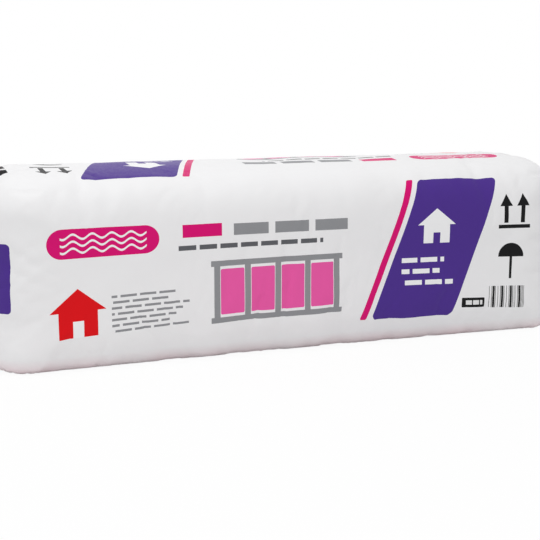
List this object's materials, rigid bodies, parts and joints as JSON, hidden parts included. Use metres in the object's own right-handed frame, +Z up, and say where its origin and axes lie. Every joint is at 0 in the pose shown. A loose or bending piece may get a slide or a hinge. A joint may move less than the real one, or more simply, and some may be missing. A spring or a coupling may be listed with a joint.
{
  "type": "bagged insulation batt pack",
  "caption": "Long pack of folded glass-wool batts, pressed down and sealed in a printed white film bag.",
  "frame": {"origin": "middle of the flat base, on the floor", "axes": "+X along the pack's length, +Y from the front panel to the back, +Z up"},
  "size_m": [1.3, 0.4, 0.365],
  "materials": {
    "printed_film": "satin",
    "glass_wool": "matte"
  },
  "bodies": {
    "root": {"film_bag": "printed_film", "batt_01": "glass_wool", "batt_02": "glass_wool", "batt_03": "glass_wool", "batt_04": "glass_wool", "batt_05": "glass_wool", "batt_06": "glass_wool", "batt_07": "glass_wool", "batt_08": "glass_wool", "batt_09": "glass_wool", "batt_10": "glass_wool"}
  },
  "joints": []
}
